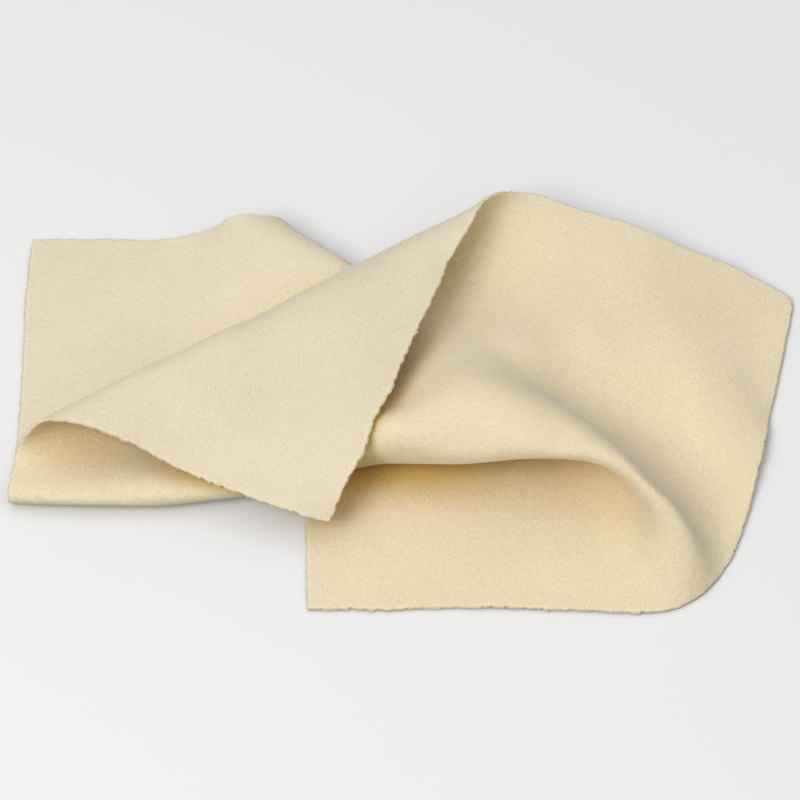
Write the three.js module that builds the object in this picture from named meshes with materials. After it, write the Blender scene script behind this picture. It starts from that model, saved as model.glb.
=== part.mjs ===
// Jewelry polishing cloth: one square of napped cotton with raw cut edges, folded in half.
// One corner of its upper half is turned back over it as a flap, and the opposite corner of its
// lower half is turned under and sticks out in front. The flat square is rolled up along its three
// fold lines, then settles as a sheet that bends but hardly stretches, held at a few landmarks of
// the folded cloth, and is closed into one solid. Millimetres, +Z up, the front towards -Y.

import * as THREE from 'three';

// Driving dimensions
const CLOTH_SIDE = 250;
const CLOTH_THICKNESS = 1.2;
const LAYER_AIR = 1.0; // least air between two layers that lie on each other
const PRESSED_DEPTH = 0.5; // what lies this close above the table is pressed flat on it
const FACET_ERROR = 0.2; // farthest that a facet may lie from the settled sheet
const MOST_FACE_TRIANGLES = 2200; // on the two faces together
const FACET_ERROR_STEP = 1.05; // the error grows by this until the faces have few enough triangles
const CLOTH_COLOUR = 0xe6d6b4;

// Inside the sheet's own sums every length is a share of the cloth's side.
const HALF_THICKNESS = CLOTH_THICKNESS / 2 / CLOTH_SIDE;
const LAYER_PITCH = (CLOTH_THICKNESS + LAYER_AIR) / CLOTH_SIDE;

// Fold lines on the flat cloth. The cloth to the right of the line is rolled over, up or down.
const FLAP_FOLD = { from: [0, 0.59], to: [0.53, 1], lifts: -1 };
const HALF_FOLD = { from: [0, 0.465], to: [1, 0.515], lifts: 1 };
const TUCK_FOLD = { from: HALF_FOLD.to, to: [0.4, 0], lifts: -1 };
const ROLL_RADIUS = 2 * LAYER_PITCH;
const ROLL_ANGLE = Math.PI * 0.97;

// Landmarks: a point of the flat cloth, from its back left corner, and where it lies when folded,
// from the middle of the table, with its height above a layer that lies on the table.
const LANDMARKS = [
  // back edge of the lower half, flat at the left, and the roll that turns its corner under
  { flat: [0, 0], folded: [-0.498, 0.271, 0] },
  { flat: [0.15, 0], folded: [-0.348, 0.268, 0] },
  { flat: [0.26, 0], folded: [-0.246, 0.269, 0.03] },
  { flat: [0.33, 0], folded: [-0.193, 0.268, 0.049] },
  { flat: [0.54, 0.22], folded: [0.04, 0.088, 0.026] },
  { flat: [0.6, 0], folded: [-0.116, 0.068, 0] },
  // corner that sticks out in front, and the right edge from there to the back
  { flat: [1, 0], folded: [-0.114, -0.336, 0] },
  { flat: [1, 0.1], folded: [-0.014, -0.339, 0] },
  { flat: [1, 0.3], folded: [0.186, -0.337, 0] },
  { flat: [1, 0.42], folded: [0.303, -0.339, 0] },
  { flat: [1, 0.5], folded: [0.384, -0.308, 0] },
  { flat: [1, 0.6], folded: [0.433, -0.226, 0] },
  { flat: [1, 0.8], folded: [0.481, -0.032, 0] },
  { flat: [1, 1], folded: [0.522, 0.164, 0] },
  // left edge: the fold in half, the curl above it and the front edge of the flap
  { flat: [0, 0.41], folded: [-0.498, -0.139, 0.001] },
  { flat: [0, 0.5], folded: [-0.497, -0.132, 0.02] },
  { flat: [0, 0.57], folded: [-0.476, -0.1, 0.05] },
  { flat: [0, 0.63], folded: [-0.435, -0.102, 0.085] },
  { flat: [0, 0.75], folded: [-0.324, -0.136, 0.075] },
  { flat: [0, 0.88], folded: [-0.2, -0.188, 0.048] },
  { flat: [0, 1], folded: [-0.09, -0.226, 0.04] },
  // right edge of the flap, the end of its ridge and the back edge of the upper half
  { flat: [0.1, 1], folded: [-0.041, -0.164, 0.096] },
  { flat: [0.2, 1], folded: [-0.008, -0.067, 0.107] },
  { flat: [0.3, 1], folded: [0.02, 0.032, 0.104] },
  { flat: [0.42, 1], folded: [0.056, 0.154, 0.093] },
  { flat: [0.5, 1], folded: [0.098, 0.229, 0.097] },
  { flat: [0.56, 1], folded: [0.128, 0.273, 0.092] },
  { flat: [0.63, 1], folded: [0.186, 0.306, 0.064] },
  { flat: [0.76, 1], folded: [0.311, 0.268, 0.04] },
  { flat: [0.9, 1], folded: [0.441, 0.22, 0.016] },
  // fold in half: flat at the left, then its arched lip and the underside of the lip
  { flat: [0.2, 0.44], folded: [-0.3, -0.17, 0.003] },
  { flat: [0.45, 0.47], folded: [-0.05, -0.117, 0.04] },
  { flat: [0.52, 0.49], folded: [0.011, -0.138, 0.073] },
  { flat: [0.6, 0.515], folded: [0.083, -0.14, 0.104] },
  { flat: [0.73, 0.52], folded: [0.205, -0.153, 0.116] },
  { flat: [0.85, 0.52], folded: [0.308, -0.212, 0.094] },
  { flat: [0.85, 0.44], folded: [0.303, -0.2, 0.047] },
  // upper half behind the lip, from under the flap to the right
  { flat: [0.5, 0.58], folded: [-0.002, -0.082, 0.077] },
  { flat: [0.77, 0.58], folded: [0.25, -0.123, 0.091] },
  { flat: [0.55, 0.8], folded: [0.066, 0.113, 0.028] },
  { flat: [0.65, 0.75], folded: [0.158, 0.042, 0.068] },
  { flat: [0.75, 0.8], folded: [0.264, 0.069, 0.044] },
  { flat: [0.9, 0.78], folded: [0.391, -0.003, 0.03] },
  // ridge of the flap from left to right, and the middle of the flap
  { flat: [0.1, 0.7], folded: [-0.335, -0.03, 0.094] },
  { flat: [0.2, 0.77], folded: [-0.231, 0.03, 0.1] },
  { flat: [0.3, 0.84], folded: [-0.128, 0.09, 0.098] },
  { flat: [0.4, 0.91], folded: [-0.03, 0.151, 0.086] },
  { flat: [0.15, 0.85], folded: [-0.173, -0.057, 0.08] },
];

// Stiffness of the sheet, each against its stretch stiffness of 1
const SHEAR = 0.2;
const BENDING = 4.5e-5;
const CREASE_SHARE = 0.2; // of the bending stiffness is left across the fold in half
const CREASE_REACH = 0.05; // from the fold line to where the cloth is as stiff as elsewhere
const WEIGHT = 0.05;
const PUSH_APART = 0.8; // of the table and of a layer below

// The sheet settles on a coarse grid first. hold is how firmly the landmarks are held.
const LEVELS = [
  { cells: 16, steps: 3000, hold: 0.3 },
  { cells: 32, steps: 2500, hold: 0.6 },
  { cells: 64, steps: 1500, hold: 0.6 },
];
const STEPS_PER_CONTACT_SEARCH = 250;
const CONTACT_REACH = 0.75; // in grid pitches, in plan
const CONTACT_HEIGHT = 2 * LAYER_PITCH;
const CONTACT_LEAST_RUN = 4 * ROLL_RADIUS; // along the cloth, between two layers that can touch
const LONGEST_MOVE = 0.3; // in grid pitches, in one step

// Settling runs downhill ever faster, and starts again slowly where it would climb. Time steps are
// shares of the longest one that is stable.
const FIRST_TIME_STEP = 0.45;
const SHORTEST_TIME_STEP = 0.135;
const LONGEST_TIME_STEP = 1;
const STIFFEST_STRETCH = 16; // of the grid's stretch springs, shaken node against node
const STIFFEST_BEND = 64;
const STIFFEST_PUSH = 4;
const SPEED_UP = 1.1;
const SLOW_DOWN = 0.5;
const STEPS_BEFORE_SPEED_UP = 5;
const STEERING = 0.1;
const STEERING_FADE = 0.99;

// Distance of a flat point to the right of a fold line
function beyond(fold, [u, v]) {
  const run = new THREE.Vector2(fold.to[0] - fold.from[0], fold.from[1] - fold.to[1]).normalize();
  return (u - fold.from[0]) * run.y + (v - fold.from[1]) * run.x;
}

// Layer that a flat point belongs to, counted from the table up
function layerOf(flat) {
  if (beyond(HALF_FOLD, flat) > 0) return beyond(FLAP_FOLD, flat) > 0 ? 3 : 2;
  return beyond(TUCK_FOLD, flat) > 0 ? 0 : 1;
}

// Share of the bending stiffness that a flat point keeps across the creased fold in half
function firmnessAcrossFold(flat) {
  const near = Math.max(0, 1 - Math.abs(beyond(HALF_FOLD, flat)) / CREASE_REACH);
  return 1 - (1 - CREASE_SHARE) * near;
}

// Moves a point beyond a fold line onto a roll round that line and the straight run after it
function rollOver(point, fold) {
  const start = new THREE.Vector3(fold.from[0], -fold.from[1], 0);
  const along = new THREE.Vector3(fold.to[0], -fold.to[1], 0).sub(start).normalize();
  const across = new THREE.Vector3(along.y, -along.x, 0);
  const offset = point.clone().sub(start);
  const distance = offset.dot(across);
  if (distance <= 0) return point;
  const radius = ROLL_RADIUS - offset.z * fold.lifts;
  const angle = Math.min(distance / ROLL_RADIUS, ROLL_ANGLE);
  const rest = distance - angle * ROLL_RADIUS;
  const reach = radius * Math.sin(angle) + rest * Math.cos(angle);
  const rise = ROLL_RADIUS - radius * Math.cos(angle) + rest * Math.sin(angle);
  const rolled = start.addScaledVector(along, offset.dot(along)).addScaledVector(across, reach);
  rolled.z += rise * fold.lifts;
  return rolled;
}

// Place of a flat point after the three rolls, clear above the table
function rolledPlace(flat) {
  const layer = layerOf(flat);
  let point = new THREE.Vector3(flat[0], -flat[1], 0);
  if (layer === 3) point = rollOver(point, FLAP_FOLD);
  if (layer >= 2) point = rollOver(point, HALF_FOLD);
  if (layer === 0) point = rollOver(point, TUCK_FOLD);
  const [x, y] = LANDMARKS[0].folded;
  return point.add(new THREE.Vector3(x, y, 2 * ROLL_RADIUS + LAYER_PITCH));
}

// The sheet as a square grid of nodes. Node (i, j) is the flat point (i, j) / cells.
class Sheet {
  constructor(cells, places) {
    this.cells = cells;
    this.pitch = 1 / cells;
    this.places = places;
    this.forces = new Float64Array(places.length);
    this.springs = [];
    this.bends = [];
    this.layers = [];
    this.contacts = [];
    const last = cells;
    for (let i = 0; i <= last; i++) {
      for (let j = 0; j <= last; j++) {
        const node = this.node(i, j);
        this.layers[node] = layerOf([i * this.pitch, j * this.pitch]);
        if (i < last) this.addSpring(node, this.node(i + 1, j), 1, 1);
        if (j < last) this.addSpring(node, this.node(i, j + 1), 1, 1);
        if (i < last && j < last) {
          this.addSpring(node, this.node(i + 1, j + 1), Math.SQRT2, SHEAR);
          this.addSpring(this.node(i + 1, j), this.node(i, j + 1), Math.SQRT2, SHEAR);
        }
        if (i > 0 && i < last) this.addBend(this.node(i - 1, j), node, this.node(i + 1, j), 1);
        const firmness = firmnessAcrossFold([i * this.pitch, j * this.pitch]);
        if (j > 0 && j < last) this.addBend(this.node(i, j - 1), node, this.node(i, j + 1), firmness);
      }
    }
    this.holds = LANDMARKS.map((landmark) => this.holdOn(landmark));
  }

  node(i, j) {
    return i * (this.cells + 1) + j;
  }

  place(node) {
    return new THREE.Vector3().fromArray(this.places, 3 * node);
  }

  addSpring(from, to, steps, stiffness) {
    const rest = steps * this.pitch;
    this.springs.push({ from, to, rest, pull: (2 * stiffness * this.pitch ** 2) / rest });
  }

  addBend(before, middle, after, firmness) {
    const stiffness = (2 * BENDING * firmness) / this.pitch ** 2;
    this.bends.push({ before, middle, after, stiffness });
  }

  // The four nodes round a landmark with their shares of it
  holdOn({ flat, folded }) {
    const i = Math.min(Math.floor(flat[0] * this.cells), this.cells - 1);
    const j = Math.min(Math.floor(flat[1] * this.cells), this.cells - 1);
    const s = flat[0] * this.cells - i;
    const t = flat[1] * this.cells - j;
    const corners = [
      { node: this.node(i, j), share: (1 - s) * (1 - t) },
      { node: this.node(i + 1, j), share: s * (1 - t) },
      { node: this.node(i, j + 1), share: (1 - s) * t },
      { node: this.node(i + 1, j + 1), share: s * t },
    ];
    return { corners, target: [folded[0], folded[1], folded[2] + HALF_THICKNESS] };
  }

  // Finds nodes that lie on a node of a lower layer, nearest in plan
  findContacts() {
    const { places, layers, pitch } = this;
    const reach = CONTACT_REACH * pitch;
    const bins = new Map();
    const binOf = (node, di, dj) =>
      `${Math.floor(places[3 * node] / reach) + di},${Math.floor(places[3 * node + 1] / reach) + dj}`;
    layers.forEach((layer, node) => {
      const bin = binOf(node, 0, 0);
      if (!bins.has(bin)) bins.set(bin, []);
      bins.get(bin).push(node);
    });
    this.contacts = [];
    layers.forEach((layer, upper) => {
      const nearest = new Map();
      for (let di = -1; di <= 1; di++) {
        for (let dj = -1; dj <= 1; dj++) {
          for (const lower of bins.get(binOf(upper, di, dj)) ?? []) {
            if (layers[lower] >= layer) continue;
            const dx = places[3 * lower] - places[3 * upper];
            const dy = places[3 * lower + 1] - places[3 * upper + 1];
            const distance = Math.hypot(dx, dy);
            const best = nearest.get(layers[lower]);
            if (distance < (best?.distance ?? reach)) nearest.set(layers[lower], { lower, distance });
          }
        }
      }
      for (const { lower } of nearest.values()) {
        const near = places[3 * upper + 2] - places[3 * lower + 2] < CONTACT_HEIGHT;
        const run = this.flatDistance(upper, lower);
        if (near && run > CONTACT_LEAST_RUN) this.contacts.push([upper, lower]);
      }
    });
  }

  flatDistance(a, b) {
    const row = this.cells + 1;
    return this.pitch * Math.hypot(Math.floor(a / row) - Math.floor(b / row), (a % row) - (b % row));
  }

  updateForces(hold) {
    const { places, forces, pitch } = this;
    const area = pitch ** 2;
    forces.fill(0);
    for (const { from, to, rest, pull } of this.springs) {
      const a = 3 * from;
      const b = 3 * to;
      const dx = places[b] - places[a];
      const dy = places[b + 1] - places[a + 1];
      const dz = places[b + 2] - places[a + 2];
      const length = Math.sqrt(dx * dx + dy * dy + dz * dz);
      const force = (pull * (length / rest - 1)) / length;
      forces[a] += force * dx;
      forces[a + 1] += force * dy;
      forces[a + 2] += force * dz;
      forces[b] -= force * dx;
      forces[b + 1] -= force * dy;
      forces[b + 2] -= force * dz;
    }
    for (const { before, middle, after, stiffness } of this.bends) {
      for (let axis = 0; axis < 3; axis++) {
        const a = 3 * before + axis;
        const b = 3 * middle + axis;
        const c = 3 * after + axis;
        const force = stiffness * (places[a] - 2 * places[b] + places[c]);
        forces[a] -= force;
        forces[b] += 2 * force;
        forces[c] -= force;
      }
    }
    for (let z = 2; z < places.length; z += 3) {
      const sunk = Math.min(places[z] - HALF_THICKNESS, 0);
      forces[z] -= area * WEIGHT + 2 * PUSH_APART * sunk;
    }
    for (const [upper, lower] of this.contacts) {
      const apart = places[3 * upper + 2] - places[3 * lower + 2] - LAYER_PITCH;
      const push = 2 * PUSH_APART * Math.min(apart, 0);
      forces[3 * upper + 2] -= push;
      forces[3 * lower + 2] += push;
    }
    for (const { corners, target } of this.holds) {
      for (let axis = 0; axis < 3; axis++) {
        let miss = -target[axis];
        for (const { node, share } of corners) miss += share * places[3 * node + axis];
        for (const { node, share } of corners) forces[3 * node + axis] -= 2 * hold * share * miss;
      }
    }
  }

  // Runs downhill with a speed that keeps to the forces, and stops dead when it would climb
  settle(steps, hold) {
    const { places, forces, pitch } = this;
    const speeds = new Float64Array(places.length);
    const bending = (STIFFEST_BEND * BENDING) / pitch ** 2;
    const stiffest = STIFFEST_STRETCH + bending + 2 * hold + STIFFEST_PUSH * PUSH_APART;
    const stable = 2 / Math.sqrt(stiffest);
    let time = FIRST_TIME_STEP * stable;
    let steer = STEERING;
    let downhill = 0;
    for (let step = 0; step < steps; step++) {
      if (step % STEPS_PER_CONTACT_SEARCH === 0) this.findContacts();
      this.updateForces(hold);
      let power = 0;
      let speedSquared = 0;
      let forceSquared = 1e-30;
      for (let n = 0; n < places.length; n++) {
        power += forces[n] * speeds[n];
        speedSquared += speeds[n] ** 2;
        forceSquared += forces[n] ** 2;
      }
      if (power > 0) {
        const push = steer * Math.sqrt(speedSquared / forceSquared);
        for (let n = 0; n < places.length; n++) speeds[n] += push * forces[n] - steer * speeds[n];
        downhill += 1;
        if (downhill > STEPS_BEFORE_SPEED_UP) {
          time = Math.min(SPEED_UP * time, LONGEST_TIME_STEP * stable);
          steer *= STEERING_FADE;
        }
      } else {
        speeds.fill(0);
        downhill = 0;
        steer = STEERING;
        time = Math.max(SLOW_DOWN * time, SHORTEST_TIME_STEP * stable);
      }
      const farthest = LONGEST_MOVE * pitch;
      for (let n = 0; n < places.length; n++) {
        speeds[n] += time * forces[n];
        places[n] += THREE.MathUtils.clamp(time * speeds[n], -farthest, farthest);
      }
    }
  }

  // The same sheet on a grid of half the pitch
  refined() {
    const fine = 2 * this.cells;
    const places = new Float64Array(3 * (fine + 1) ** 2);
    for (let i = 0; i <= fine; i++) {
      for (let j = 0; j <= fine; j++) {
        this.midPlace(i, j).toArray(places, 3 * (i * (fine + 1) + j));
      }
    }
    return new Sheet(fine, places);
  }

  // Place of a node of the fine grid, on a smooth curve through its coarse neighbours
  midPlace(i, j) {
    if (i % 2 === 1) {
      return this.curveMiddle((i - 1) / 2, (coarse) => this.midPlace(2 * coarse, j));
    }
    if (j % 2 === 1) {
      return this.curveMiddle((j - 1) / 2, (coarse) => this.midPlace(i, 2 * coarse));
    }
    return this.place(this.node(i / 2, j / 2));
  }

  curveMiddle(start, placeAt) {
    const middle = placeAt(start).add(placeAt(start + 1)).multiplyScalar(0.5);
    if (start === 0 || start + 2 > this.cells) return middle;
    const outer = placeAt(start - 1).add(placeAt(start + 2)).multiplyScalar(0.5);
    return middle.addScaledVector(middle.clone().sub(outer), 0.125);
  }

  pressFlat() {
    const pressed = HALF_THICKNESS + PRESSED_DEPTH / CLOTH_SIDE;
    for (let z = 2; z < this.places.length; z += 3) {
      if (this.places[z] < pressed) this.places[z] = HALF_THICKNESS;
    }
  }

  // Unit normal at a node, up where the lower half lies flat
  normal(i, j) {
    const last = this.cells;
    const alongU = this.place(this.node(Math.min(i + 1, last), j));
    alongU.sub(this.place(this.node(Math.max(i - 1, 0), j)));
    const alongV = this.place(this.node(i, Math.min(j + 1, last)));
    alongV.sub(this.place(this.node(i, Math.max(j - 1, 0))));
    return alongV.cross(alongU).normalize();
  }
}

function settledSheet() {
  const { cells } = LEVELS[0];
  const places = [];
  for (let i = 0; i <= cells; i++) {
    for (let j = 0; j <= cells; j++) {
      places.push(...rolledPlace([i / cells, j / cells]));
    }
  }
  let sheet = new Sheet(cells, Float64Array.from(places));
  for (const { cells: wanted, steps, hold } of LEVELS) {
    if (wanted > sheet.cells) sheet = sheet.refined();
    sheet.settle(steps, hold);
  }
  sheet.pressFlat();
  return sheet;
}

// Cuts the sheet into right-angled triangles, halved until each lies within the error of the sheet.
// A triangle is [a, b, c] with its right angle at c, and each corner is a grid place [i, j].
function cutIntoTriangles(sheet, error) {
  const last = sheet.cells;
  const roots = [
    [[0, 0], [last, last], [last, 0]],
    [[last, last], [0, 0], [0, last]],
  ];
  const halved = new Set();
  const middleOf = (a, b) => [(a[0] + b[0]) / 2, (a[1] + b[1]) / 2];
  const placeOf = ([i, j]) => sheet.place(sheet.node(i, j));
  const visit = ([a, b, c]) => {
    const middle = middleOf(a, b);
    if (!Number.isInteger(middle[0]) || !Number.isInteger(middle[1])) return false;
    const left = visit([c, a, middle]);
    const right = visit([b, c, middle]);
    const chord = placeOf(a).add(placeOf(b)).multiplyScalar(0.5);
    if (left || right || chord.distanceTo(placeOf(middle)) > error) halved.add(String(middle));
    return halved.has(String(middle));
  };
  let known = -1;
  while (halved.size > known) {
    known = halved.size;
    roots.forEach(visit);
  }
  const collect = ([a, b, c]) => {
    const middle = middleOf(a, b);
    if (!halved.has(String(middle))) return [[a, b, c]];
    return [...collect([c, a, middle]), ...collect([b, c, middle])];
  };
  return roots.flatMap(collect);
}

// Grid places round the sheet's edge, in order
function rimPlaces(last) {
  const steps = [...Array(last).keys()];
  return [
    ...steps.map((n) => [n, 0]),
    ...steps.map((n) => [last, n]),
    ...steps.map((n) => [last - n, last]),
    ...steps.map((n) => [0, last - n]),
  ];
}

// Closed solid with the sheet's two faces and its cut edge
function clothGeometry(sheet) {
  let error = FACET_ERROR / CLOTH_SIDE;
  let triangles = cutIntoTriangles(sheet, error);
  while (2 * triangles.length > MOST_FACE_TRIANGLES) {
    error *= FACET_ERROR_STEP;
    triangles = cutIntoTriangles(sheet, error);
  }

  const positions = [];
  const vertices = new Map();
  const facePair = ([i, j]) => {
    const key = `${i},${j}`;
    if (!vertices.has(key)) {
      const middle = sheet.place(sheet.node(i, j));
      const shift = sheet.normal(i, j).multiplyScalar(HALF_THICKNESS);
      vertices.set(key, positions.length / 3);
      positions.push(...middle.clone().add(shift).multiplyScalar(CLOTH_SIDE));
      positions.push(...middle.clone().sub(shift).multiplyScalar(CLOTH_SIDE));
    }
    const upper = vertices.get(key);
    return { upper, lower: upper + 1 };
  };

  const index = [];
  for (const triangle of triangles) {
    const [a, b, c] = triangle.map(facePair);
    index.push(a.upper, b.upper, c.upper);
    index.push(c.lower, b.lower, a.lower);
  }
  const rim = rimPlaces(sheet.cells).filter(([i, j]) => vertices.has(`${i},${j}`)).map(facePair);
  rim.forEach((here, n) => {
    const next = rim[(n + 1) % rim.length];
    index.push(here.upper, next.upper, next.lower);
    index.push(here.upper, next.lower, here.lower);
  });

  const geometry = new THREE.BufferGeometry();
  geometry.setAttribute('position', new THREE.Float32BufferAttribute(positions, 3));
  geometry.setIndex(index);
  geometry.computeBoundingBox();
  const middle = geometry.boundingBox.getCenter(new THREE.Vector3());
  geometry.translate(-middle.x, -middle.y, -geometry.boundingBox.min.z);
  geometry.computeVertexNormals();
  return geometry;
}

const clothMaterial = new THREE.MeshStandardMaterial({ color: CLOTH_COLOUR, roughness: 0.95, metalness: 0 });
const cloth = new THREE.Mesh(clothGeometry(settledSheet()), clothMaterial);
cloth.name = 'cloth';

const polishingCloth = new THREE.Group();
polishingCloth.add(cloth);

export default polishingCloth;
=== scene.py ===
"""Looks of a folded jewelry polishing cloth, in metres and in the CAD frame.

One square of cream napped cotton settles into its fold by the same sums as the CAD solid, on a finer grid.
It gets its thickness, ragged cut edges, napped faces and loose fibres, and a plain soft studio round it.
"""
import math

import bpy
import numpy as np
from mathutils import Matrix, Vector
from mathutils.bvhtree import BVHTree
from mathutils.kdtree import KDTree


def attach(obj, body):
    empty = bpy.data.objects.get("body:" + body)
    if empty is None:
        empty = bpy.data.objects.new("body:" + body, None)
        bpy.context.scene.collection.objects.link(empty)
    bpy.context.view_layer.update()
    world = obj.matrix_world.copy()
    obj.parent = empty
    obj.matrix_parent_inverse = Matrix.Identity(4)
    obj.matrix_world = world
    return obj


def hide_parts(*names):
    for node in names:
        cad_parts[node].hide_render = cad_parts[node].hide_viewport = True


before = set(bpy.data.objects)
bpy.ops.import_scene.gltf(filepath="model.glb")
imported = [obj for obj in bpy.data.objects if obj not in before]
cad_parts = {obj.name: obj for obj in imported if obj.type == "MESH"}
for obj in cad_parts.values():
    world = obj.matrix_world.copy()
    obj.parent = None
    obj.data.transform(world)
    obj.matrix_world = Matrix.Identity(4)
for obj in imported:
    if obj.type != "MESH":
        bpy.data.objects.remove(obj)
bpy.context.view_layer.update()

# Cloth, as cut
CLOTH_SIDE = 0.250
CLOTH_THICKNESS = 0.0012
LAYER_AIR = 0.0010

# Inside the sheet's own sums every length is a share of the cloth's side.
HALF_THICKNESS = CLOTH_THICKNESS / 2 / CLOTH_SIDE
LAYER_PITCH = (CLOTH_THICKNESS + LAYER_AIR) / CLOTH_SIDE

# Fold lines on the flat cloth: two points, and whether the cloth to the line's right is rolled up or down
FLAP_FOLD = ((0.0, 0.59), (0.53, 1.0), -1)
HALF_FOLD = ((0.0, 0.465), (1.0, 0.515), 1)
TUCK_FOLD = ((1.0, 0.515), (0.4, 0.0), -1)
ROLL_RADIUS = 2 * LAYER_PITCH
ROLL_ANGLE = 0.97 * math.pi

# Layers between the folds, from the table up
TUCKED, LOWER, UPPER, FLAP = range(4)

# Landmarks: a point of the flat cloth, from its back left corner, and where it lies when folded,
# from the middle of the table, with its height above a layer that lies on the table.
LANDMARKS = [
    # back edge of the lower half, flat at the left, and the roll that turns its corner under
    ((0, 0), (-0.498, 0.271, 0)),
    ((0.15, 0), (-0.348, 0.268, 0)),
    ((0.26, 0), (-0.246, 0.269, 0.03)),
    ((0.33, 0), (-0.193, 0.268, 0.049)),
    ((0.54, 0.22), (0.04, 0.088, 0.026)),
    ((0.6, 0), (-0.116, 0.068, 0)),
    # corner that sticks out in front, and the right edge from there to the back
    ((1, 0), (-0.114, -0.336, 0)),
    ((1, 0.1), (-0.014, -0.339, 0)),
    ((1, 0.3), (0.186, -0.337, 0)),
    ((1, 0.42), (0.303, -0.339, 0)),
    ((1, 0.5), (0.384, -0.308, 0)),
    ((1, 0.6), (0.433, -0.226, 0)),
    ((1, 0.8), (0.481, -0.032, 0)),
    ((1, 1), (0.522, 0.164, 0)),
    # left edge: the fold in half, the curl above it and the front edge of the flap
    ((0, 0.41), (-0.498, -0.139, 0.001)),
    ((0, 0.5), (-0.497, -0.132, 0.02)),
    ((0, 0.57), (-0.476, -0.1, 0.05)),
    ((0, 0.63), (-0.435, -0.102, 0.085)),
    ((0, 0.75), (-0.324, -0.136, 0.075)),
    ((0, 0.88), (-0.2, -0.188, 0.048)),
    ((0, 1), (-0.09, -0.226, 0.04)),
    # right edge of the flap, the end of its ridge and the back edge of the upper half
    ((0.1, 1), (-0.041, -0.164, 0.096)),
    ((0.2, 1), (-0.008, -0.067, 0.107)),
    ((0.3, 1), (0.02, 0.032, 0.104)),
    ((0.42, 1), (0.056, 0.154, 0.093)),
    ((0.5, 1), (0.098, 0.229, 0.097)),
    ((0.56, 1), (0.128, 0.273, 0.092)),
    ((0.63, 1), (0.186, 0.306, 0.064)),
    ((0.76, 1), (0.311, 0.268, 0.04)),
    ((0.9, 1), (0.441, 0.22, 0.016)),
    # fold in half: flat at the left, then its arched lip and the underside of the lip
    ((0.2, 0.44), (-0.3, -0.17, 0.003)),
    ((0.45, 0.47), (-0.05, -0.117, 0.04)),
    ((0.52, 0.49), (0.011, -0.138, 0.073)),
    ((0.6, 0.515), (0.083, -0.14, 0.104)),
    ((0.73, 0.52), (0.205, -0.153, 0.116)),
    ((0.85, 0.52), (0.308, -0.212, 0.094)),
    ((0.85, 0.44), (0.303, -0.2, 0.047)),
    # upper half behind the lip, from under the flap to the right
    ((0.5, 0.58), (-0.002, -0.082, 0.077)),
    ((0.77, 0.58), (0.25, -0.123, 0.091)),
    ((0.55, 0.8), (0.066, 0.113, 0.028)),
    ((0.65, 0.75), (0.158, 0.042, 0.068)),
    ((0.75, 0.8), (0.264, 0.069, 0.044)),
    ((0.9, 0.78), (0.391, -0.003, 0.03)),
    # ridge of the flap from left to right, and the middle of the flap
    ((0.1, 0.7), (-0.335, -0.03, 0.094)),
    ((0.2, 0.77), (-0.231, 0.03, 0.1)),
    ((0.3, 0.84), (-0.128, 0.09, 0.098)),
    ((0.4, 0.91), (-0.03, 0.151, 0.086)),
    ((0.15, 0.85), (-0.173, -0.057, 0.08)),
]

# Stiffness of the sheet, each against its stretch stiffness of 1
SHEAR = 0.2
BENDING = 4.5e-5
CREASE_SHARE = 0.2  # of the bending stiffness is left across the fold in half
CREASE_REACH = 0.05  # from the fold line to where the cloth is as stiff as elsewhere
WEIGHT = 0.05
PUSH_APART = 0.8  # of the table and of a layer below

# The sheet settles on a coarse grid first: cells a side, steps, and how firmly the landmarks are held.
LEVELS = [(16, 3000, 0.3), (32, 2500, 0.6), (64, 1500, 0.6), (128, 500, 0.6)]
QUICK_CELLS = 64
STEPS_PER_CONTACT_SEARCH = 250
CONTACT_REACH = 0.75  # in grid pitches, in plan
CONTACT_HEIGHT = 2 * LAYER_PITCH
CONTACT_LEAST_RUN = 4 * ROLL_RADIUS  # along the cloth, between two layers that can touch
LONGEST_MOVE = 0.3  # in grid pitches, in one step

# Settling runs downhill ever faster, and starts again slowly where it would climb. Time steps are shares
# of the longest one that is stable.
FIRST_TIME_STEP = 0.45
SHORTEST_TIME_STEP = 0.135
LONGEST_TIME_STEP = 1.0
SPEED_UP = 1.1
SLOW_DOWN = 0.5
STEPS_BEFORE_SPEED_UP = 5
STEERING = 0.1
STEERING_FADE = 0.99
STIFFEST_STRETCH = 16  # of the grid's stretch springs, shaken node against node
STIFFEST_BEND = 64
STIFFEST_PUSH = 4
LEAST_FORCE = 1e-30  # keeps the steering from a division by zero

# Mesh, in metres
FINE_STEPS = 1  # doublings of the settled grid
RUMPLES = [(0.00015, 0.022), (0.00007, 0.009)]  # depth and wavelength of the unevenness
LEAST_KNOTS = 4  # of a smooth row of random numbers
RUMPLE_SEED = 7

# Cut edge, in metres: its rings have a height in half thicknesses and a share of the edge's painted
# highlight and glow.
FACE_SHARE, MIDDLE_SHARE = 0.5, 1.0
RIM_LEVELS = [(0.8, FACE_SHARE), (0.0, MIDDLE_SHARE), (-0.8, FACE_SHARE)]
FACE_RIM = 0.3  # share of the edge's painted highlight on the last grid line of a face
RIM_INSET = 2  # grid steps from the edge to the node that it points away from
RIM_SPLIT = 4  # points of the cut edge to each grid step
RIM_REACH = 0.0006  # of the cut edge beyond the last grid line
RIM_ROUND = 0.5  # of that reach is lost towards the faces
RAGGED = [(0.00012, 0.0042), (0.00026, 0.0018), (0.00022, 0.0009)]  # depth and wavelength
RAGGED_SEED = 17
NICKS = 40
NICK_DEPTH = (0.0005, 0.0011)
NICK_WIDTH = 0.0011
NICK_SEED = 27

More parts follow.
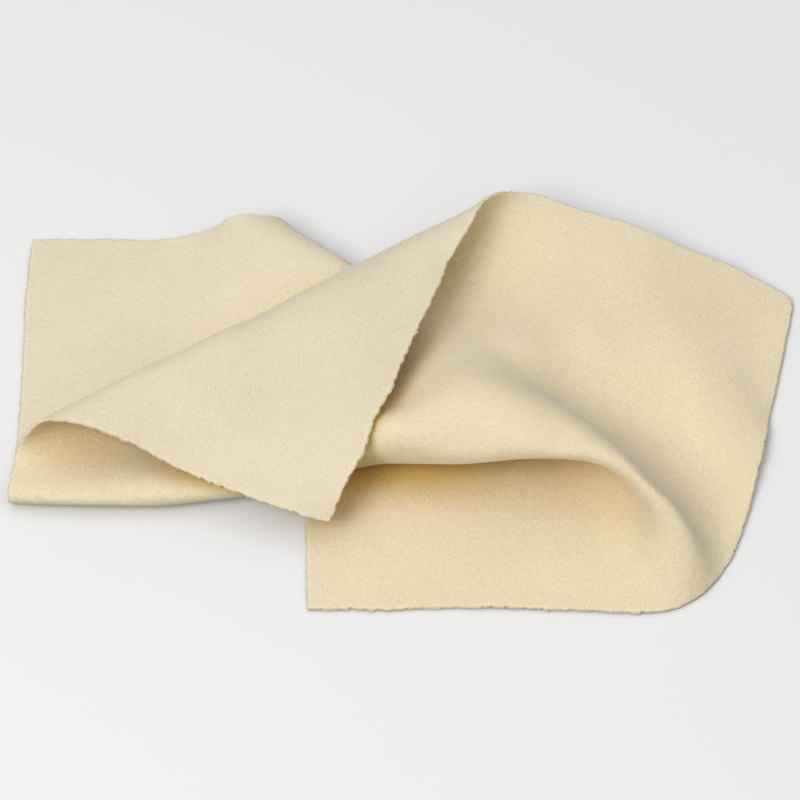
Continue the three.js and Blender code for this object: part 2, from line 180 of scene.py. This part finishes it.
# Loose fibres, in metres
FIBRES_ON_FACES = 26000
FIBRES_ON_EDGE = 16000
FIBRE_EVEN_SHARE = 0.6  # of the mean bend, so that flat cloth has fibres too
FIBRE_LENGTH = (0.0004, 0.0011)
FIBRE_WIDTH = 0.00004
FIBRE_ROOT = 0.8  # of half the thickness
FIBRE_SCATTER = 0.001
FIBRE_STAND = 0.8  # how far a fibre keeps to the way out of the cloth
FIBRE_SEED = 37

# Sight of the cloth's own folds from its faces, in shares of its side; it sets the painted golden shade in
# the folds
SKY_RAYS = 32
SKY_START = 0.002
SKY_REACH = 0.1
NEAR_X = 0.9  # of a unit normal along X, from which Y is the safer helper
FOLD_SHADE_FROM = 0.04  # nearness of other cloth at which the painted shade in the folds starts, and where it is deepest
FOLD_SHADE_TO = 0.36

# Colours, 8 bits a channel; a pair is for the hollows and the crests of the nap
FACE_COLOURS = (231, 217, 188), (240, 228, 201)
# the back face is painted a little warmer than the front, standing in for warm light bounced onto that side
BACK_COLOURS = (235, 218, 184), (245, 231, 198)
# painted golden shade for the folds, darker where other cloth shuts out the light
FOLD_SHADE_COLOURS = (218, 184, 106), (230, 200, 124)
# painted light of the cut edge: a gold glow as of light through the cloth, and a pale highlight where the
# puffed edge catches the light
EDGE_GLOW_GOLD = (226, 200, 150)
EDGE_HIGHLIGHT_PALE = (243, 233, 210)
EDGE_SHARE = 0.8  # of the edge's painted highlight and glow, at most
PATCH_DARK = (249, 249, 247)
PATCH_LIGHT = (255, 255, 255)
SHEEN_TINT = (242, 244, 248)

# Surfaces
SHEEN = 0.6
SHEEN_ROUGHNESS = 0.35
CLOTH_ROUGHNESS = 1.0
FLOOR_ROUGHNESS = 0.9
SPECULAR = 0.1

# Nap: noises with their features a metre, and how deep they are in metres
NAP_STRETCH = (0.6, 1.0, 1.0)
NAP_TURN = (0.0, 0.0, math.radians(20))
WAVE_SCALE = 1250.0
WAVE_NOISE = {"Scale": WAVE_SCALE, "Detail": 2.0, "Roughness": 0.55, "Distortion": 0.9}
WAVE_DEPTH = 0.00027
TUFT_NOISE = {"Scale": 260.0, "Detail": 2.0, "Roughness": 0.5}
TUFT_DEPTH = 0.00015
FIBRE_NOISE = {"Scale": 2600.0, "Detail": 1.0, "Roughness": 0.5}
FIBRE_DEPTH = 0.00006
PATCH_NOISE = {"Scale": 30.0, "Detail": 3.0}
NOISE_LOW, NOISE_HIGH = 0.3, 0.7  # between which a noise goes from its first colour to its second

# Studio
FLOOR_REACH = 3.0
FLOOR_GAP = 0.0002
FLOOR_LIT = 0.45  # grey of the floor to the light that it sends back
FLOOR_SEEN = 0.86  # grey of the floor to the camera
SKY_LOW = 0.0  # strength of the sky at the horizon
SKY_HIGH = 1.0  # and straight up
KEY_AZIMUTH = math.radians(-40)
KEY_ELEVATION = math.radians(48)
KEY_DISTANCE = 1.6
KEY_SIZE = 0.8
KEY_POWER = 10.8

# Camera: the photograph's viewing angle, and its scale at the middle of the table
CAMERA_ELEVATION = math.radians(52)
CAMERA_DISTANCE = 1.125
PHOTO_WIDTH = 800
SIDE_IN_PHOTO = 760  # pixels that the cloth's side would take at the middle of the table
SENSOR_WIDTH = 36.0
NEAREST_SEEN = 0.05


# Folding of the flat sheet

def beyond(fold, flat):
    """Distance of flat points to the right of a fold line."""
    start, end = np.array(fold[0]), np.array(fold[1])
    run = (end - start) * (1, -1)
    run = run / np.linalg.norm(run)
    return (flat[..., 0] - start[0]) * run[1] + (flat[..., 1] - start[1]) * run[0]


def layer_of(flat):
    """Layer that each flat point belongs to."""
    upper = np.where(beyond(FLAP_FOLD, flat) > 0, FLAP, UPPER)
    lower = np.where(beyond(TUCK_FOLD, flat) > 0, TUCKED, LOWER)
    return np.where(beyond(HALF_FOLD, flat) > 0, upper, lower)


def roll_over(places, fold):
    """Moves places beyond a fold line onto a roll round that line and the straight run after it."""
    (u0, v0), (u1, v1), lifts = fold
    start = np.array((u0, -v0, 0.0))
    along = np.array((u1, -v1, 0.0)) - start
    along /= np.linalg.norm(along)
    across = np.array((along[1], -along[0], 0.0))
    offset = places - start
    distance = offset @ across
    radius = ROLL_RADIUS - offset[..., 2] * lifts
    angle = np.clip(distance / ROLL_RADIUS, 0, ROLL_ANGLE)
    rest = distance - angle * ROLL_RADIUS
    reach = radius * np.sin(angle) + rest * np.cos(angle)
    rise = ROLL_RADIUS - radius * np.cos(angle) + rest * np.sin(angle)
    rolled = start + (offset @ along)[..., None] * along + reach[..., None] * across
    rolled[..., 2] += rise * lifts
    return np.where((distance > 0)[..., None], rolled, places)


def flat_grid(cells):
    """Flat places of the nodes of a square grid."""
    shares = np.linspace(0, 1, cells + 1)
    return np.stack(np.meshgrid(shares, shares, indexing="ij"), axis=-1)


def grid_quads(cells):
    """Corners of the cells of that grid, with its nodes counted row by row."""
    row = cells + 1
    corner = (np.arange(cells)[:, None] * row + np.arange(cells)).ravel()
    return np.stack([corner, corner + 1, corner + row + 1, corner + row], -1)


def rolled_sheet(cells):
    """The sheet after its three rolls, clear above the table."""
    flat = flat_grid(cells)
    layer = layer_of(flat)[..., None]
    places = np.concatenate([flat * (1, -1), np.zeros_like(flat[..., :1])], axis=-1)
    places = np.where(layer == FLAP, roll_over(places, FLAP_FOLD), places)
    places = np.where(layer >= UPPER, roll_over(places, HALF_FOLD), places)
    places = np.where(layer == TUCKED, roll_over(places, TUCK_FOLD), places)
    x, y, _ = LANDMARKS[0][1]
    return places + (x, y, 2 * ROLL_RADIUS + LAYER_PITCH)


def doubled(places):
    """The same sheet on a grid of half the pitch, on smooth curves through its nodes."""
    for axis in (0, 1):
        rows = np.moveaxis(places, axis, 0)
        middles = (rows[:-1] + rows[1:]) / 2
        outer = (rows[:-3] + rows[3:]) / 2
        middles[1:-1] += (middles[1:-1] - outer) / 8
        fine = np.empty((2 * len(rows) - 1,) + rows.shape[1:])
        fine[::2] = rows
        fine[1::2] = middles
        places = np.moveaxis(fine, 0, axis)
    return places


# Settling

class Sheet:
    """The sheet as a square grid of nodes. Node (i, j) is the flat point (i, j) / cells."""

    def __init__(self, places):
        self.places = places
        self.cells = len(places) - 1
        self.pitch = 1 / self.cells
        self.layer = layer_of(flat_grid(self.cells)).ravel()
        self.hold_on_landmarks()
        near = np.clip(1 - np.abs(beyond(HALF_FOLD, flat_grid(self.cells))) / CREASE_REACH, 0, 1)
        firmness_across_fold = 1 - (1 - CREASE_SHARE) * near
        self.firmness = np.ones_like(near), firmness_across_fold

    def hold_on_landmarks(self):
        """The four nodes round each landmark with their shares of it."""
        flat = np.array([flat for flat, _ in LANDMARKS], float) * self.cells
        corner = np.minimum(flat.astype(int), self.cells - 1)
        (i, j), (s, t) = corner.T, (flat - corner).T
        self.hold_nodes = np.stack([i, i + 1, i, i + 1]), np.stack([j, j, j + 1, j + 1])
        self.hold_shares = np.stack([(1 - s) * (1 - t), s * (1 - t), (1 - s) * t, s * t])[..., None]
        self.targets = np.array([folded for _, folded in LANDMARKS], float) + (0, 0, HALF_THICKNESS)

    def find_contacts(self):
        """Pairs of nodes where one lies on a node of a lower layer, nearest in plan."""
        places = self.places.reshape(-1, 3)
        row = self.cells + 1
        pairs = []
        for low_layer in (TUCKED, LOWER, UPPER):
            low_nodes = np.flatnonzero(self.layer == low_layer)
            tree = KDTree(len(low_nodes))
            for node in low_nodes:
                tree.insert((places[node, 0], places[node, 1], 0), int(node))
            tree.balance()
            for upper in np.flatnonzero(self.layer > low_layer):
                _, lower, distance = tree.find((places[upper, 0], places[upper, 1], 0))
                near = places[upper, 2] - places[lower, 2] < CONTACT_HEIGHT
                run = math.hypot(upper // row - lower // row, upper % row - lower % row) * self.pitch
                if near and distance < CONTACT_REACH * self.pitch and run > CONTACT_LEAST_RUN:
                    pairs.append((upper, lower))
        self.contacts = np.array(pairs, int).reshape(-1, 2).T

    def forces(self, hold):
        """Force on each node: stretch and shear, bending, weight and table, layers below, landmarks."""
        places, pitch = self.places, self.pitch
        area = pitch ** 2
        force = np.zeros_like(places)

        def pull(start, end, steps, stiffness):
            run = places[end] - places[start]
            length = np.sqrt((run * run).sum(-1, keepdims=True))
            rest = steps * pitch
            tension = (2 * stiffness * area / rest) * (length / rest - 1) / length * run
            force[start] += tension
            force[end] -= tension

        head, tail, all_ = slice(None, -1), slice(1, None), slice(None)
        pull((head, all_), (tail, all_), 1, 1)
        pull((all_, head), (all_, tail), 1, 1)
        pull((head, head), (tail, tail), math.sqrt(2), SHEAR)
        pull((tail, head), (head, tail), math.sqrt(2), SHEAR)

        stiffness = 2 * BENDING * area / pitch ** 4
        for axis in (0, 1):
            rows, row_force = np.moveaxis(places, axis, 0), np.moveaxis(force, axis, 0)
            firmness = np.moveaxis(self.firmness[axis], axis, 0)[1:-1, :, None]
            bend = stiffness * firmness * (rows[:-2] - 2 * rows[1:-1] + rows[2:])
            row_force[:-2] -= bend
            row_force[1:-1] += 2 * bend
            row_force[2:] -= bend

        sunk = np.minimum(places[..., 2] - HALF_THICKNESS, 0)
        force[..., 2] -= area * WEIGHT + 2 * PUSH_APART * sunk

        heights, lift = places[..., 2].ravel(), np.zeros(places[..., 2].size)
        upper, lower = self.contacts
        push = 2 * PUSH_APART * np.minimum(heights[upper] - heights[lower] - LAYER_PITCH, 0)
        np.add.at(lift, upper, -push)
        np.add.at(lift, lower, push)
        force[..., 2] += lift.reshape(force.shape[:2])

        miss = (places[self.hold_nodes] * self.hold_shares).sum(0) - self.targets
        np.add.at(force, self.hold_nodes, -2 * hold * self.hold_shares * miss)
        return force

    def settle(self, steps, hold):
        """Runs downhill with a speed that keeps to the forces, and stops dead when it would climb."""
        bending = STIFFEST_BEND * BENDING / self.pitch ** 2
        stable = 2 / math.sqrt(STIFFEST_STRETCH + bending + 2 * hold + STIFFEST_PUSH * PUSH_APART)
        farthest = LONGEST_MOVE * self.pitch
        speed = np.zeros_like(self.places)
        time, steer, downhill = FIRST_TIME_STEP * stable, STEERING, 0
        for step in range(steps):
            if step % STEPS_PER_CONTACT_SEARCH == 0:
                self.find_contacts()
            force = self.forces(hold)
            if (force * speed).sum() > 0:
                push = math.sqrt((speed * speed).sum() / ((force * force).sum() + LEAST_FORCE))
                speed += steer * (push * force - speed)
                downhill += 1
                if downhill > STEPS_BEFORE_SPEED_UP:
                    time = min(SPEED_UP * time, LONGEST_TIME_STEP * stable)
                    steer *= STEERING_FADE
            else:
                speed[:] = 0
                steer, downhill = STEERING, 0
                time = max(SLOW_DOWN * time, SHORTEST_TIME_STEP * stable)
            speed += time * force
            self.places += np.clip(time * speed, -farthest, farthest)


def settled_places():
    """Middle of the settled sheet, in shares of its side, on the finest grid."""
    sheet = Sheet(rolled_sheet(LEVELS[0][0]))
    for cells, steps, hold in LEVELS:
        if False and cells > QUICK_CELLS:
            break
        if cells > sheet.cells:
            sheet = Sheet(doubled(sheet.places))
        sheet.settle(steps, hold)
    return sheet.places


# Mesh of the cloth

def smooth_noise(count, wavelength, seed):
    """A closed row of seeded random numbers from -1 to 1, smooth over about wavelength steps."""
    knots = max(LEAST_KNOTS, round(count / wavelength))
    values = np.random.default_rng(seed).uniform(-1, 1, knots)
    at = np.arange(count) * knots / count
    left = at.astype(int)
    ease = (1 - np.cos(math.pi * (at - left))) / 2
    return values[left] * (1 - ease) + values[(left + 1) % knots] * ease


def smooth_field(cells, wavelength, seed):
    """A square grid of seeded random numbers from -1 to 1, smooth over about wavelength cells."""
    knots = round(cells / wavelength) + 2
    values = np.random.default_rng(seed).uniform(-1, 1, (knots, knots))
    at = np.arange(cells + 1) / wavelength
    left = at.astype(int)
    ease = (1 - np.cos(math.pi * (at - left))) / 2
    rows = values[left] * (1 - ease)[:, None] + values[left + 1] * ease[:, None]
    return rows[:, left] * (1 - ease) + rows[:, left + 1] * ease


def grid_normals(places):
    """Unit normals, up where the lower half lies flat."""
    along_u, along_v = np.gradient(places, axis=0), np.gradient(places, axis=1)
    normals = np.cross(along_v, along_u)
    return normals / np.linalg.norm(normals, axis=-1, keepdims=True)


def hemisphere_rays():
    """Evenly spread directions round +Z, closer together where they count more."""
    turn = math.pi * (3 - math.sqrt(5))
    share = (np.arange(SKY_RAYS) + 0.5) / SKY_RAYS
    out, angle = np.sqrt(share), turn * np.arange(SKY_RAYS)
    return np.stack([out * np.cos(angle), out * np.sin(angle), np.sqrt(1 - share)], -1)


def shelter(places):
    """How much of the view from each node's two faces is near cloth, from 0 to 1; it sets the painted shade
    in the folds.
    """
    row = len(places)
    tree = BVHTree.FromPolygons(places.reshape(-1, 3).tolist(), grid_quads(row - 1).tolist())
    rays = hemisphere_rays()
    normals = grid_normals(places).reshape(-1, 3)
    shares = np.zeros((2, row * row))
    for face, sign in enumerate((1, -1)):
        up = sign * normals
        side = np.cross(up, np.where(np.abs(up[:, :1]) < NEAR_X, (1.0, 0.0, 0.0), (0.0, 1.0, 0.0)))
        side /= np.linalg.norm(side, axis=-1, keepdims=True)
        other = np.cross(up, side)
        starts = places.reshape(-1, 3) + SKY_START * up
        for node in range(row * row):
            aims = rays @ np.stack([side[node], other[node], up[node]])
            start = Vector(starts[node])
            distances = [tree.ray_cast(start, Vector(aim), SKY_REACH)[3] for aim in aims]
            shares[face, node] = sum(1 - d / SKY_REACH for d in distances if d is not None) / SKY_RAYS
    return smoothed(np.moveaxis(shares.reshape(2, row, row), 0, -1))


def smoothed(grid):
    """Mean of each node and its neighbours."""
    padded = np.pad(grid, ((1, 1), (1, 1), (0, 0)), mode="edge")
    row = len(grid)
    return sum(padded[i:i + row, j:j + row] for i in range(3) for j in range(3)) / 9


def rim_nodes(cells):
    """Grid places round the edge, in order."""
    steps = np.arange(cells)
    i = np.concatenate([steps, np.full(cells, cells), cells - steps, np.zeros(cells, int)])
    j = np.concatenate([np.zeros(cells, int), steps, np.full(cells, cells), cells - steps])
    return i, j


def rim_outward(places):
    """Directions out of the cloth round its edge, in its own surface."""
    cells = len(places) - 1
    i, j = rim_nodes(cells)
    inner_i, inner_j = (np.clip(at, RIM_INSET, cells - RIM_INSET) for at in (i, j))
    outward = places[i, j] - places[inner_i, inner_j]
    return outward / np.linalg.norm(outward, axis=-1, keepdims=True)


def rumpled(places):
    """Gives the hand-worn cloth a slight unevenness all over."""
    cells = len(places) - 1
    per_metre = cells / CLOTH_SIDE
    lift = np.zeros((cells + 1, cells + 1))
    for number, (depth, wavelength) in enumerate(RUMPLES):
        lift += depth / CLOTH_SIDE * smooth_field(cells, wavelength * per_metre, RUMPLE_SEED + number)
    return places + lift[..., None] * grid_normals(places)


def along_rim(values):
    """Values round the edge with more points between each two."""
    shares = np.arange(RIM_SPLIT)[:, None] / RIM_SPLIT
    fine = values[:, None] * (1 - shares) + np.roll(values, -1, 0)[:, None] * shares
    return fine.reshape(-1, values.shape[-1])


def edge_reach(count):
    """How far the cut edge stands out beyond the grid, uneven and with a few nicks."""
    per_metre = count / (4 * CLOTH_SIDE)
    reach = np.full(count, RIM_REACH)
    for number, (depth, wavelength) in enumerate(RAGGED):
        reach += depth * smooth_noise(count, wavelength * per_metre, RAGGED_SEED + number)
    random = np.random.default_rng(NICK_SEED)
    for _ in range(NICKS):
        middle, depth = random.integers(count), random.uniform(*NICK_DEPTH)
        away = np.abs((np.arange(count) - middle + count // 2) % count - count // 2)
        reach -= depth * np.exp(-(away / (NICK_WIDTH * per_metre / 2)) ** 2)
    return np.maximum(reach, 0)[:, None] / CLOTH_SIDE


def seam(ring, fine):
    """Faces between the ring of a face's last nodes and the finer ring of the cut edge beside it."""
    faces = []
    for k, (start, end) in enumerate(zip(ring, np.roll(ring, -1))):
        beside = np.take(fine, range(k * RIM_SPLIT, (k + 1) * RIM_SPLIT + 1), mode="wrap")
        faces.append([start, end, *beside[::-1]])
    return faces


def cloth_mesh(places):
    """Closed thin solid of the sheet: vertices and faces, and for each vertex its flat place, node, share
    of the back face and share of the cut edge."""
    cells = len(places) - 1
    row = cells + 1
    normals = grid_normals(places)
    i, j = rim_nodes(cells)
    flat = flat_grid(cells)
    rim_places, rim_normals, rim_flat = (along_rim(grid[i, j]) for grid in (places, normals, flat))
    outward = along_rim(rim_outward(places))
    count = len(rim_places)
    reach = edge_reach(count)
    top = (places + HALF_THICKNESS * normals).reshape(-1, 3)
    bottom = (places - HALF_THICKNESS * normals).reshape(-1, 3)
    nodes, rim = np.arange(row * row), i * row + j
    face_share = np.where(np.isin(nodes, rim), FACE_RIM, 0)
    points, back_shares, edge_shares = [top, bottom], [0 * nodes, 0 * nodes + 1], [face_share, face_share]
    for level, share in RIM_LEVELS:
        out = reach * (1 - RIM_ROUND * level ** 2) * outward
        points.append(rim_places + HALF_THICKNESS * level * rim_normals + out)
        back_shares.append(np.full(count, (1 - level) / 2))
        edge_shares.append(np.full(count, share))
    vertices, back_share, edge_share = (np.concatenate(rows) for rows in (points, back_shares, edge_shares))
    flat_of = np.concatenate([flat.reshape(-1, 2)] * 2 + [rim_flat] * len(RIM_LEVELS))
    node_of = np.concatenate([nodes, nodes] + [np.repeat(rim, RIM_SPLIT)] * len(RIM_LEVELS))

    quads = grid_quads(cells)
    rings = [2 * row * row + n * count + np.arange(count) for n in range(len(RIM_LEVELS))]
    strips = [np.stack([a, np.roll(a, -1), np.roll(b, -1), b], -1) for a, b in zip(rings, rings[1:])]
    faces = np.concatenate([quads, quads[:, ::-1] + row * row, *strips]).tolist()
    faces += seam(rim, rings[0])
    faces += [face[::-1] for face in seam(rim + row * row, rings[-1])]
    return vertices, faces, flat_of, node_of, back_share, edge_share


def fibre_mesh(places):
    """Loose fibres as thin spikes that stand off the nap, most where the cloth bends and at its cut edge."""
    cells = len(places) - 1
    row = cells + 1
    random = np.random.default_rng(FIBRE_SEED)
    normals = grid_normals(places)
    bend = sum(np.linalg.norm(np.gradient(normals, axis=axis), axis=-1) for axis in (0, 1))
    weight = FIBRE_EVEN_SHARE * bend.mean() + bend
    nodes = random.choice(row * row, FIBRES_ON_FACES, p=(weight / weight.sum()).ravel())
    i, j = nodes // row, nodes % row
    side = random.choice((-1.0, 1.0), FIBRES_ON_FACES)[:, None]
    up = normals[i, j] * side
    roots = places[i, j] + HALF_THICKNESS * FIBRE_ROOT * up

    rim_i, rim_j = rim_nodes(cells)
    at = random.integers(len(rim_i), size=FIBRES_ON_EDGE)
    edge_up = rim_outward(places)[at]
    level = random.uniform(-FIBRE_ROOT, FIBRE_ROOT, FIBRES_ON_EDGE)[:, None]
    edge_roots = places[rim_i[at], rim_j[at]] + HALF_THICKNESS * level * normals[rim_i[at], rim_j[at]]

    roots, up = np.concatenate([roots, edge_roots]), np.concatenate([up, edge_up])
    count = len(roots)
    roots += random.uniform(-0.5, 0.5, (count, 3)) * FIBRE_SCATTER / CLOTH_SIDE
    aim = up * FIBRE_STAND + random.normal(0, 1, (count, 3))
    aim /= np.linalg.norm(aim, axis=-1, keepdims=True)
    across = np.cross(aim, random.normal(0, 1, (count, 3)))
    across /= np.linalg.norm(across, axis=-1, keepdims=True)
    third = np.cross(aim, across)
    width = FIBRE_WIDTH / CLOTH_SIDE
    length = random.uniform(*FIBRE_LENGTH, count)[:, None] / CLOTH_SIDE
    clear = np.minimum(roots[:, 2], (roots + length * aim)[:, 2]) > width
    roots, aim, across, third, length = (value[clear] for value in (roots, aim, across, third, length))
    corners = [roots + width * (math.cos(turn) * across + math.sin(turn) * third)
               for turn in (0, 2 * math.pi / 3, 4 * math.pi / 3)]
    vertices = np.stack(corners + [roots + length * aim], 1).reshape(-1, 3)
    first = (len(corners) + 1) * np.arange(len(roots))[:, None]
    faces = np.concatenate([first + spike for spike in ((0, 1, 3), (1, 2, 3), (2, 0, 3), (2, 1, 0))])
    return vertices, faces.tolist()


def mesh_object(name, vertices, faces):
    mesh = bpy.data.meshes.new(name)
    mesh.from_pydata(vertices.tolist(), [], faces)
    mesh.shade_smooth()
    mesh.update()
    piece = bpy.data.objects.new(name, mesh)
    bpy.context.scene.collection.objects.link(piece)
    return piece


def add_flat_map(piece, flat_of):
    """A UV map with the flat place of each corner, in metres, so that the nap lies along the cloth."""
    layer = piece.data.uv_layers.new(name="flat")
    corner = np.empty(len(piece.data.loops), dtype=np.int32)
    piece.data.loops.foreach_get("vertex_index", corner)
    layer.data.foreach_set("uv", (flat_of[corner] * CLOTH_SIDE).astype(np.float32).ravel())


def add_share(piece, name, shares):
    attribute = piece.data.attributes.new(name, "FLOAT", "POINT")
    attribute.data.foreach_set("value", shares.astype(np.float32))


# Materials

def node_tree(name):
    material = bpy.data.materials.new(name)
    material.use_nodes = True
    tree = material.node_tree
    return material, tree, tree.nodes["Principled BSDF"]


def feed(tree, socket, value):
    """Links another node's output to a socket, or sets a constant on it."""
    if isinstance(value, bpy.types.NodeSocket):
        tree.links.new(value, socket)
    else:
        socket.default_value = value


def add_node(tree, kind, inputs=None, **settings):
    node = tree.nodes.new(kind)
    for key, value in settings.items():
        setattr(node, key, value)
    for key, value in (inputs or {}).items():
        feed(tree, node.inputs[key], value)
    return node


def add_noise(tree, place, noise):
    return add_node(tree, "ShaderNodeTexNoise", {"Vector": place, **noise}).outputs["Fac"]


def add_ramp(tree, share, stops):
    """Colour ramp through (position, colour) stops."""
    node = add_node(tree, "ShaderNodeValToRGB", {"Fac": share})
    elements = node.color_ramp.elements
    for _ in stops[2:]:
        elements.new(0.5)
    for element, (position, colour) in zip(elements, stops):
        element.position, element.color = position, colour
    return node.outputs["Color"]


def add_mix(tree, share, first, second, blend="MIX"):
    """Mix of two colours. Its sockets go by number, as those for plain numbers have the same names."""
    inputs = {0: share, 6: first, 7: second}
    return add_node(tree, "ShaderNodeMix", inputs, data_type="RGBA", blend_type=blend).outputs[2]


def srgb(red, green, blue):
    """Linear colour of an 8-bit one."""
    shares = [channel / 255 for channel in (red, green, blue)]
    return tuple(s / 12.92 if s < 0.04045 else ((s + 0.055) / 1.055) ** 2.4 for s in shares) + (1.0,)


def grey(share):
    return share, share, share, 1.0


def add_noise_ramp(tree, noise, colours):
    low, high = colours
    return add_ramp(tree, noise, ((NOISE_LOW, srgb(*low)), (NOISE_HIGH, srgb(*high))))


def make_matt(shader, roughness):
    shader.inputs["Roughness"].default_value = roughness
    shader.inputs["Specular IOR Level"].default_value = SPECULAR


def napped_cotton():
    material, tree, shader = node_tree("napped_cotton")
    flat = add_node(tree, "ShaderNodeUVMap", uv_map="flat").outputs["UV"]
    turned = add_node(tree, "ShaderNodeMapping", {"Vector": flat, "Rotation": NAP_TURN}).outputs["Vector"]
    stretched = add_node(tree, "ShaderNodeMapping", {"Vector": turned, "Scale": NAP_STRETCH})
    back, edge, near = (add_node(tree, "ShaderNodeAttribute", attribute_name=name).outputs["Fac"]
                        for name in ("back", "edge", "near"))

    # Nap: short matted fibres that lie in little waves, soft tufts under them and single fibres on top
    waves = add_noise(tree, stretched.outputs["Vector"], WAVE_NOISE)
    tufts = add_noise(tree, flat, TUFT_NOISE)
    fibres = add_noise(tree, flat, FIBRE_NOISE)
    below = {}
    for height, depth in ((tufts, TUFT_DEPTH), (waves, WAVE_DEPTH), (fibres, FIBRE_DEPTH)):
        inputs = {"Height": height, "Strength": 1.0, "Distance": depth, **below}
        below = {"Normal": add_node(tree, "ShaderNodeBump", inputs).outputs["Normal"]}
    tree.links.new(below["Normal"], shader.inputs["Normal"])

    # Colour: cream, the back a little warmer as painted warm bounce light, and painted golden shade deep in
    # its folds where other cloth is near
    face, behind, fold = (add_noise_ramp(tree, waves, colours)
                          for colours in (FACE_COLOURS, BACK_COLOURS, FOLD_SHADE_COLOURS))
    # Painted shade: the colour turns to the darker gold as other cloth comes near
    depth = add_ramp(tree, near, ((FOLD_SHADE_FROM, grey(0.0)), (FOLD_SHADE_TO, grey(1.0))))
    colour = add_mix(tree, back, face, add_mix(tree, depth, behind, fold))
    patches = add_noise_ramp(tree, add_noise(tree, flat, PATCH_NOISE), (PATCH_DARK, PATCH_LIGHT))
    colour = add_mix(tree, 1.0, colour, patches, "MULTIPLY")

    # Cut edge: a painted highlight in pale, with a painted glow of gold on each side of its middle, as of
    # light coming through the cloth
    pale, gold = srgb(*EDGE_HIGHLIGHT_PALE), srgb(*EDGE_GLOW_GOLD)
    cut = add_ramp(tree, edge, ((FACE_RIM, pale), (FACE_SHARE, gold), (MIDDLE_SHARE, pale)))
    on_edge = add_ramp(tree, edge, ((0.0, grey(0.0)), (FACE_SHARE, grey(EDGE_SHARE))))
    tree.links.new(add_mix(tree, on_edge, colour, cut), shader.inputs["Base Color"])

    make_matt(shader, CLOTH_ROUGHNESS)
    shader.inputs["Sheen Weight"].default_value = SHEEN
    shader.inputs["Sheen Roughness"].default_value = SHEEN_ROUGHNESS
    shader.inputs["Sheen Tint"].default_value = srgb(*SHEEN_TINT)
    return material


def loose_fibre():
    material, tree, shader = node_tree("loose_fibre")
    place = add_node(tree, "ShaderNodeTexCoord").outputs["Object"]
    noise = add_noise(tree, place, {"Scale": WAVE_SCALE})
    tree.links.new(add_noise_ramp(tree, noise, FACE_COLOURS), shader.inputs["Base Color"])
    make_matt(shader, CLOTH_ROUGHNESS)
    return material


def pale_floor():
    material, tree, shader = node_tree("pale_floor")
    seen = add_node(tree, "ShaderNodeLightPath").outputs["Is Camera Ray"]
    tree.links.new(add_mix(tree, seen, grey(FLOOR_LIT), grey(FLOOR_SEEN)), shader.inputs["Base Color"])
    make_matt(shader, FLOOR_ROUGHNESS)
    return material


# Pieces

def fine_grid(grid):
    for _ in range(FINE_STEPS):
        grid = doubled(grid)
    return grid


def build_cloth():
    settled = settled_places()
    places = rumpled(fine_grid(settled))
    vertices, faces, flat_of, node_of, back_share, edge_share = cloth_mesh(places)
    middle = (vertices.min(0) + vertices.max(0)) / 2
    shift = -np.array((middle[0], middle[1], vertices[:, 2].min())) * CLOTH_SIDE
    cloth = mesh_object("napped_cloth", vertices * CLOTH_SIDE + shift, faces)
    add_flat_map(cloth, flat_of)
    add_share(cloth, "back", back_share)
    add_share(cloth, "edge", edge_share)
    # Nearness of other cloth round each face, which sets the painted golden shade in the folds
    near = fine_grid(shelter(settled)).reshape(-1, 2)[node_of]
    add_share(cloth, "near", near[:, 0] * (1 - back_share) + near[:, 1] * back_share)
    cloth.data.materials.append(napped_cotton())

    vertices, faces = fibre_mesh(places)
    fibres = mesh_object("loose_fibres", vertices * CLOTH_SIDE + shift, faces)
    fibres.data.materials.append(loose_fibre())
    return cloth, fibres, shift


def build_floor():
    corners = np.array([(-1, -1, 0), (1, -1, 0), (1, 1, 0), (-1, 1, 0)]) * FLOOR_REACH
    floor = mesh_object("floor", corners - (0, 0, FLOOR_GAP), [(0, 1, 2, 3)])
    floor.data.materials.append(pale_floor())


def build_light():
    world = bpy.data.worlds.new("studio")
    world.use_nodes = True
    tree = world.node_tree
    place = add_node(tree, "ShaderNodeTexCoord").outputs["Generated"]
    height = add_node(tree, "ShaderNodeSeparateXYZ", {"Vector": place}).outputs["Z"]
    dome = add_node(tree, "ShaderNodeMapRange", {"Value": height, "To Min": SKY_LOW, "To Max": SKY_HIGH})
    seen = add_node(tree, "ShaderNodeLightPath").outputs["Is Camera Ray"]
    strength = add_node(tree, "ShaderNodeMath", {0: dome.outputs["Result"], 1: seen}, operation="MAXIMUM")
    tree.links.new(strength.outputs[0], tree.nodes["Background"].inputs["Strength"])
    tree.nodes["Background"].inputs["Color"].default_value = grey(1.0)
    bpy.context.scene.world = world

    lamp = bpy.data.lights.new("key", "AREA")
    lamp.shape = "DISK"
    lamp.size = KEY_SIZE
    lamp.energy = KEY_POWER
    key = bpy.data.objects.new("key", lamp)
    flat_reach = KEY_DISTANCE * math.cos(KEY_ELEVATION)
    key.location = (flat_reach * math.sin(KEY_AZIMUTH), -flat_reach * math.cos(KEY_AZIMUTH),
                    KEY_DISTANCE * math.sin(KEY_ELEVATION))
    key.rotation_euler = (-key.location).to_track_quat("-Z", "Y").to_euler()
    bpy.context.scene.collection.objects.link(key)


def build_camera(target):
    data = bpy.data.cameras.new("camera")
    data.sensor_width = SENSOR_WIDTH
    view_width = PHOTO_WIDTH / SIDE_IN_PHOTO * CLOTH_SIDE
    data.lens = SENSOR_WIDTH * CAMERA_DISTANCE / view_width
    data.clip_start = NEAREST_SEEN
    camera = bpy.data.objects.new("camera", data)
    back = Vector((0, -math.cos(CAMERA_ELEVATION), math.sin(CAMERA_ELEVATION)))
    camera.location = Vector(target) + CAMERA_DISTANCE * back
    camera.rotation_euler = (-back).to_track_quat("-Z", "Y").to_euler()
    bpy.context.scene.collection.objects.link(camera)
    bpy.context.scene.camera = camera


cloth, fibres, shift = build_cloth()
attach(cloth, "root")
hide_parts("cloth")
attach(fibres, "root")
build_floor()
build_light()
build_camera((shift[0], shift[1], 0))
bpy.context.scene.view_settings.view_transform = "Standard"
